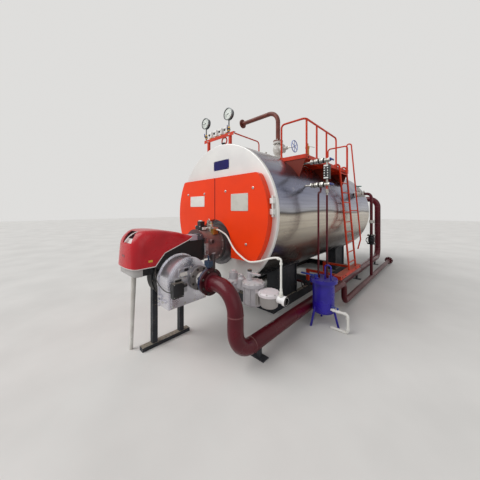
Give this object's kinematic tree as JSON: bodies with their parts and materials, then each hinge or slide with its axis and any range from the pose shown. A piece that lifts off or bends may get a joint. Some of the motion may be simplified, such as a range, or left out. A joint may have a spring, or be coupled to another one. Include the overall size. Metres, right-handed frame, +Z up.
{
  "type": "industrial boiler",
  "caption": "Horizontal fire-tube steam boiler on a skid, with a gas burner, flue gas duct, drain tank, platform, ladder and fittings.",
  "frame": {"origin": "on the ground, in the middle of the underside of the skid's front cross member", "axes": "+X to the right as seen from the burner end, +Y back along the shell, +Z up"},
  "size_m": [2.669, 7.12, 3.73],
  "materials": {
    "cladding": "polished stainless sheet",
    "end_plate": "brushed stainless sheet",
    "orange_enamel": "gloss enamel",
    "base_paint": "satin paint",
    "burner_grey": "satin paint",
    "burner_casting": "as cast",
    "burner_black": "moulded",
    "burner_red": "gloss moulded",
    "cast_aluminium": "as cast",
    "white_plastic": "moulded",
    "brass_fittings": "machined",
    "valve_grey": "satin paint",
    "spool_paint": "satin paint",
    "valve_blue": "gloss paint",
    "maroon_paint": "gloss paint",
    "cast_iron": "as cast",
    "oxide_paint": "satin primer",
    "rack_red": "satin paint",
    "switch_white": "moulded",
    "gauge_case": "polished",
    "gauge_black": "satin paint",
    "fitting_steel": "machined",
    "tank_blue": "gloss paint"
  },
  "bodies": {
    "root": {"shell_cladding": "cladding", "front_plate": "end_plate", "rear_plate": "end_plate", "front_door_left": "orange_enamel", "front_door_right": "orange_enamel", "door_hinges": "end_plate", "front_saddle": "base_paint", "rear_saddle": "base_paint", "base_skid": "base_paint", "burner_ring": "burner_grey", "burner_head": "burner_casting", "burner_body": "burner_black", "burner_cover": "burner_red", "burner_tray": "burner_grey", "fan_drum": "cast_aluminium", "fan_motor": "burner_black", "air_damper_drive": "burner_black", "burner_stand": "base_paint", "burner_leg": "white_plastic", "ignition_fittings": "brass_fittings", "gas_regulator": "valve_grey", "gas_filter": "valve_grey", "gas_conduit": "white_plastic", "duct_spool": "spool_paint", "duct_valve": "valve_blue", "recirculation_duct": "maroon_paint", "flue_box": "end_plate", "steam_valve": "cast_iron", "steam_pipe": "oxide_paint", "safety_valve": "cast_iron", "instrument_rack": "rack_red", "pressure_switches": "switch_white", "pressure_gauges": "gauge_case", "sensing_pipes": "oxide_paint", "platform_deck": "rack_red", "platform_railing": "rack_red", "ladder": "rack_red", "ladder_handrail": "rack_red", "ladder_foot": "rack_red", "level_gauge": "gauge_black", "level_gauge_fittings": "fitting_steel", "drain_tank": "tank_blue", "drain_piping": "maroon_paint", "tank_outlet": "white_plastic", "feed_water_line": "maroon_paint"}
  },
  "joints": []
}
